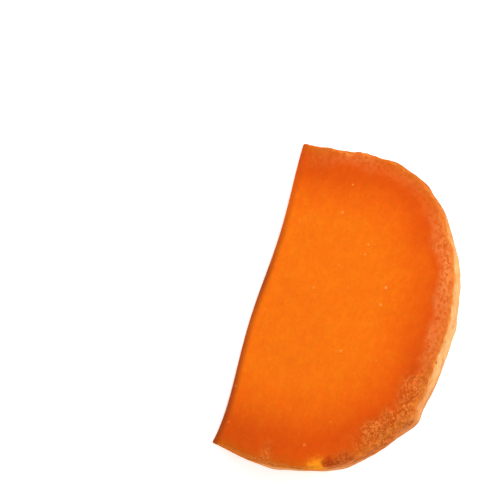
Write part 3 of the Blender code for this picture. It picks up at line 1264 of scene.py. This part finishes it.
def crumb_material():
    """Dry golden crumbs, some paler than others."""
    material, tree, shader, place = new_material("mimolette_crumbs")
    tone = patchy(tree, place, **CRUMB_TONES)
    dress(tree, shader, {"Base Color": mix(tree, tone, CRUMBLED_GOLD, PASTE_GOLD)})
    dress(tree, shader, CRUMB_FINISH)
    return material


golden = crumb_material()
print("made", golden.name, "with", len(golden.node_tree.nodes), "nodes")

# %% The crumb tree
CRUMB_SIZES = {
    "Crumbs per Square Metre": 4500000.0,
    "Smallest": 0.00010,
    "Largest": 0.00034,
    "Seed": 3.0,
}
TRAIL_START = 0.0006
TRAIL_WIDTH = 0.0016
CRUMBLED_TRAIL_WIDTH = 0.0065
SPARSEST = 0.15
PATCH_SCALE = 90.0
PATCH_FADE = (0.46, 0.62)
LUMP_SCALE = 1400.0
FULL_TURN = (6.283, 6.283, 6.283)


def random_value(tree, low, high, seed, kind):
    """A random value for each crumb, between two limits."""
    inputs = {"Min": low, "Max": high, "Seed": seed}
    return node(tree, "FunctionNodeRandomValue", inputs, "Value", data_type=kind)


def crumb_tree(material):
    """Small uneven lumps on the faces near the upper rim."""
    tree, given = new_geometry_tree("crumbs", CRUMB_SIZES)
    place = node(tree, "GeometryNodeInputPosition", None, "Position")
    crumbled = carried(tree, "crumbled")
    width = calc(tree, "ADD", product(tree, crumbled, CRUMBLED_TRAIL_WIDTH), TRAIL_WIDTH)
    near_rim = falls(tree, carried(tree, "from_rim"), TRAIL_START, width)
    often = calc(tree, "ADD", product(tree, crumbled, 1 - SPARSEST), SPARSEST)
    patches = node(tree, "ShaderNodeTexNoise", {"Scale": PATCH_SCALE}, "Fac")
    patches = rises(tree, patches, *PATCH_FADE)
    often = product(tree, near_rim, often, patches, carried(tree, "upper"))
    density = product(tree, often, given["Crumbs per Square Metre"])
    inputs = {"Mesh": given["Geometry"], "Density": density}
    strewn = node(tree, "GeometryNodeDistributePointsOnFaces", inputs)
    lump = node(tree, "GeometryNodeMeshIcoSphere", {"Radius": 1.0, "Subdivisions": 1}, "Mesh")
    turn = random_value(tree, (0.0, 0.0, 0.0), FULL_TURN, 1, "FLOAT_VECTOR")
    scale = random_value(tree, given["Smallest"], given["Largest"], 2, "FLOAT")
    lumps = {"Points": strewn.outputs["Points"], "Instance": lump, "Rotation": turn, "Scale": scale}
    placed = node(tree, "GeometryNodeInstanceOnPoints", lumps, "Instances")
    real = step(tree, "GeometryNodeRealizeInstances", Geometry=placed)
    inputs = {"Vector": place, "W": given["Seed"], "Scale": LUMP_SCALE}
    ragged = node(tree, "ShaderNodeTexNoise", inputs, "Color", noise_dimensions="4D")
    centred = vector_calc(tree, "SUBTRACT", ragged, (0.5, 0.5, 0.5))
    shake = scaled(tree, centred, product(tree, given["Smallest"], 2.0))
    dented = step(tree, "GeometryNodeSetPosition", Geometry=real, Offset=shake)
    dressed = step(tree, "GeometryNodeSetMaterial", Geometry=dented, Material=material)
    node(tree, "NodeGroupOutput", {"Geometry": dressed})
    return tree


strewing = crumb_tree(golden)
print("the crumb tree has", len(strewing.nodes), "nodes")

# %% The crumbs themselves
LUMP_VERTICES = 12

crumbs = add_object("mimolette_crumbs", wedge.data)
crumbs.data = made_real(crumbs, strewing, CRUMB_SIZES, "mimolette_crumbs")
print("scattered", len(crumbs.data.vertices) // LUMP_VERTICES, "crumbs")

# %% [markdown]
# ## On the frame
#
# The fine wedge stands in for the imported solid, and the crumbs lie on it. Both ride on the one
# body of the model, so they move with it wherever it is put. How far the fine wedge strays
# from the solid is measured here, because the two have to stay one form.

# %% Riding and checking
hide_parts("mimolette")
for piece in (wedge, crumbs):
    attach(piece, "root")

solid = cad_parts["mimolette"]
solid_mesh = bmesh.new()
solid_mesh.from_mesh(solid.data)
solid_mesh.transform(solid.matrix_world)
surface = BVHTree.FromBMesh(solid_mesh)
solid_mesh.free()
strays = np.array([surface.find_nearest(vertex.co)[3] for vertex in wedge.data.vertices])
typical, furthest = 1000 * float(np.median(strays)), 1000 * float(strays.max())
print("from the solid: typically", round(typical, 2), "mm, at most", round(furthest, 2), "mm")

# %% [markdown]
# ## Table, light and camera
#
# The photograph shows the wedge from nearly straight above, cut out on white, under one broad
# soft light from its upper right. A backdrop without any shadow would let the wedge float. So
# it lies on a pale tabletop, which glows a little and comes out almost white, with a trace of
# soft shadow. The lens is long, as in product photographs, so the cut keeps its true outline.

# %% Tabletop
TABLE_HALF_SIZE = 3.0
TABLE_WHITE = (0.93, 0.93, 0.93, 1.0)
TABLE_GLOW = 0.48
TABLE_FINISH = {
    "Base Color": TABLE_WHITE,
    "Roughness": 0.9,
    "Specular IOR Level": 0.1,
    "Emission Color": TABLE_WHITE,
    "Emission Strength": TABLE_GLOW,
}
TABLE_GRAIN = {"size": 0.004, "detail": 4.0}
TABLE_BUMP = {"strength": 0.05, "distance": 0.0002}


def table_material():
    """Matte white board with the faintest unevenness."""
    material, tree, shader, place = new_material("white_table")
    grain = noise(tree, place, **TABLE_GRAIN)
    dress(tree, shader, {"Normal": bumpy(tree, grain, **TABLE_BUMP)})
    dress(tree, shader, TABLE_FINISH)
    return material


corners = TABLE_HALF_SIZE * np.array(((-1, -1, 0), (1, -1, 0), (1, 1, 0), (-1, 1, 0)))
table_mesh = bpy.data.meshes.new("table")
table_mesh.from_pydata(corners.tolist(), [], [(0, 1, 2, 3)])
table_mesh.materials.append(table_material())
table = add_object("table", table_mesh)
print("the table is", 2 * TABLE_HALF_SIZE, "m wide")

# %% Light
KEY_DIRECTION = Vector((-0.58, 0.24, 0.78))
KEY_DISTANCE = 0.8
KEY_SIZE = 0.7
KEY_POWER = 4.5
WORLD_STRENGTH = 0.74

world = bpy.data.worlds.new("white_room")
world.use_nodes = True
background = world.node_tree.nodes["Background"]
background.inputs["Color"].default_value = (1.0, 1.0, 1.0, 1.0)
background.inputs["Strength"].default_value = WORLD_STRENGTH
bpy.context.scene.world = world

key_light = bpy.data.lights.new("key", "AREA")
key_light.energy = KEY_POWER
key_light.size = KEY_SIZE
key = add_object("key", key_light)
key.location = KEY_DIRECTION.normalized() * KEY_DISTANCE
key.rotation_euler = KEY_DIRECTION.to_track_quat("Z", "Y").to_euler()
bpy.context.scene.view_settings.view_transform = "Standard"
print("the key light stands", KEY_DISTANCE, "m away")

# %% Camera
CAMERA_DISTANCE = 1.1
CAMERA_AZIMUTH = math.radians(17.87)
CAMERA_ELEVATION = math.radians(72.07)
CAMERA_ROLL = math.radians(89.70)
CAMERA_LENS = 158.45
AIM_RIGHT = -0.0491
AIM_UP = 0.0361

towards = Vector((
    math.sin(CAMERA_AZIMUTH) * math.cos(CAMERA_ELEVATION),
    -math.cos(CAMERA_AZIMUTH) * math.cos(CAMERA_ELEVATION),
    math.sin(CAMERA_ELEVATION),
))
level = Vector((math.cos(CAMERA_AZIMUTH), math.sin(CAMERA_AZIMUTH), 0))
turn = Matrix.Rotation(CAMERA_ROLL, 3, towards)
right = turn @ level
up = towards.cross(right)
station = towards * CAMERA_DISTANCE
aim = right * AIM_RIGHT + up * AIM_UP
back = (station - aim).normalized()
right = (right - back * right.dot(back)).normalized()
up = back.cross(right)

camera_data = bpy.data.cameras.new("camera")
camera_data.lens = CAMERA_LENS
camera = add_object("camera", camera_data)
camera.matrix_world = Matrix((
    (right.x, up.x, back.x, station.x),
    (right.y, up.y, back.y, station.y),
    (right.z, up.z, back.z, station.z),
    (0, 0, 0, 1),
))
bpy.context.scene.camera = camera
print("the camera stands at", [round(value, 3) for value in station])
